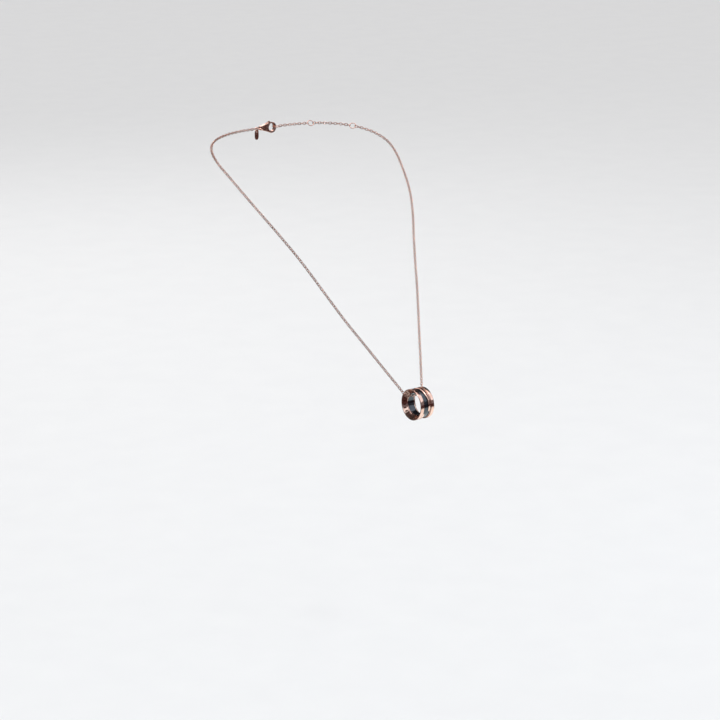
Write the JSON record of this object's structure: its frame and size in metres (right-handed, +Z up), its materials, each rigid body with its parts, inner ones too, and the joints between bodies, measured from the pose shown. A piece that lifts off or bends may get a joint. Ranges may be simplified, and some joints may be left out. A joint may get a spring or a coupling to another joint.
{
  "type": "pendant necklace",
  "caption": "Fine rose gold cable chain with a drum-shaped ring pendant hanging loose on it, black ceramic band and gold ribbon, closed by a lobster clasp.",
  "frame": {"origin": "midway between the two places where the chain leaves the shoulders, on the neck line", "axes": "+Z up, front of the wearer towards -Y, +X to the wearer's left; the drum's bore runs along X"},
  "size_m": [0.1032, 0.1308, 0.125],
  "materials": {
    "chain_gold": "polished rose gold cable chain",
    "polished_gold": "mirror polished rose gold",
    "rim_gold": "polished rose gold with fine turning lines",
    "ring_gold": "polished rose gold wire",
    "clasp_gold": "cast and tumbled rose gold",
    "black_ceramic": "polished black technical ceramic",
    "spring_steel": "spring steel strip"
  },
  "bodies": {
    "root": {"left_nape_chain": "chain_gold", "right_nape_chain": "chain_gold", "sizing_rings": "ring_gold", "end_ring": "ring_gold", "clasp_jump_ring": "ring_gold"},
    "upper_drop": {"left_upper_chain": "chain_gold", "right_upper_chain": "chain_gold"},
    "middle_drop": {"left_middle_chain": "chain_gold", "right_middle_chain": "chain_gold"},
    "lower_drop": {"left_lower_chain": "chain_gold", "right_lower_chain": "chain_gold"},
    "pendant_loop": {"pendant_chain": "chain_gold"},
    "pendant": {"bore_sleeve": "black_ceramic", "left_rim": "rim_gold", "right_rim": "rim_gold", "left_lock_ring": "polished_gold", "right_lock_ring": "polished_gold", "ceramic_band": "black_ceramic", "helical_ribbon": "polished_gold"},
    "clasp": {"clasp_body": "clasp_gold", "clasp_pin": "clasp_gold", "clasp_spring": "spring_steel"},
    "lever": {"clasp_lever": "clasp_gold"},
    "tag": {"tag_ring": "ring_gold", "blank_tag": "clasp_gold"}
  },
  "joints": [
    {"name": "shoulder_fold", "type": "hinge", "parent": "root", "child": "upper_drop", "pos_m": [0, -0.0001, -0.00008], "axis": [-1, 0, 0], "range_deg": [0, 60]},
    {"name": "middle_fold", "type": "hinge", "parent": "upper_drop", "child": "middle_drop", "pos_m": [0, -0.02611, -0.028], "axis": [-1, 0, 0], "range_deg": [0, 45]},
    {"name": "lower_fold", "type": "hinge", "parent": "middle_drop", "child": "lower_drop", "pos_m": [0, -0.04783, -0.05914], "axis": [-1, 0, 0], "range_deg": [0, 45]},
    {"name": "pendant_fold", "type": "hinge", "parent": "lower_drop", "child": "pendant_loop", "pos_m": [0, -0.06999, -0.08944], "axis": [-1, 0, 0], "range_deg": [0, 45]},
    {"name": "pendant_roll", "type": "hinge", "parent": "pendant_loop", "child": "pendant", "pos_m": [0, -0.07511, -0.09614], "axis": [1, 0, 0], "continuous": true},
    {"name": "clasp_swing", "type": "hinge", "parent": "root", "child": "clasp", "pos_m": [-0.00415, 0.046, 0.0183], "axis": [0, 1, 0], "range_deg": [-4, 4]},
    {"name": "lever_press", "type": "hinge", "parent": "clasp", "child": "lever", "pos_m": [0.00001, 0.046, 0.01974], "axis": [0, 1, 0], "range_deg": [0, 25], "stiffness_Nm_per_rad": 0.00002, "springref_deg": -17.19, "deforming": ["clasp_spring"]},
    {"name": "tag_swing", "type": "hinge", "parent": "root", "child": "tag", "pos_m": [-0.00607, 0.04722, 0.0183], "axis": [0.9063, 0.4226, 0], "range_deg": [0, 75]}
  ]
}
